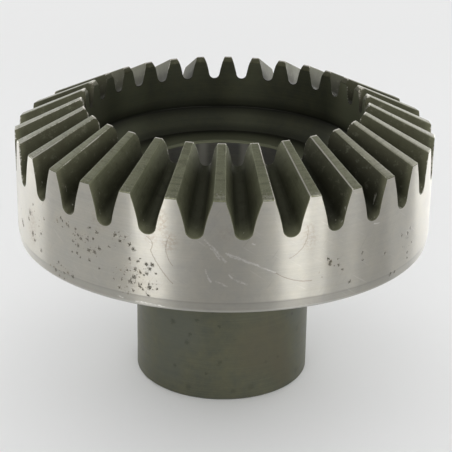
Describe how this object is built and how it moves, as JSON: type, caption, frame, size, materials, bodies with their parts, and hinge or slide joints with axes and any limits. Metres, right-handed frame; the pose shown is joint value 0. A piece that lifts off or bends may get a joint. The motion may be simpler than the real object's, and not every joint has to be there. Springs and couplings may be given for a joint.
{
  "type": "bevel gear",
  "caption": "Straight-tooth steel bevel gear with a dished front, a turned rim and a long plain hub bored for a shaft.",
  "frame": {"origin": "centre of the hub's end face, which the gear stands on", "axes": "+Z along the gear's axis, from the hub's end towards the teeth and the apex of the pitch cone"},
  "size_m": [0.1546, 0.1544, 0.1088],
  "materials": {
    "steel": "bright turned rim, dark satin teeth, dish and hub"
  },
  "bodies": {
    "root": {"bevel_gear": "steel"}
  },
  "joints": []
}
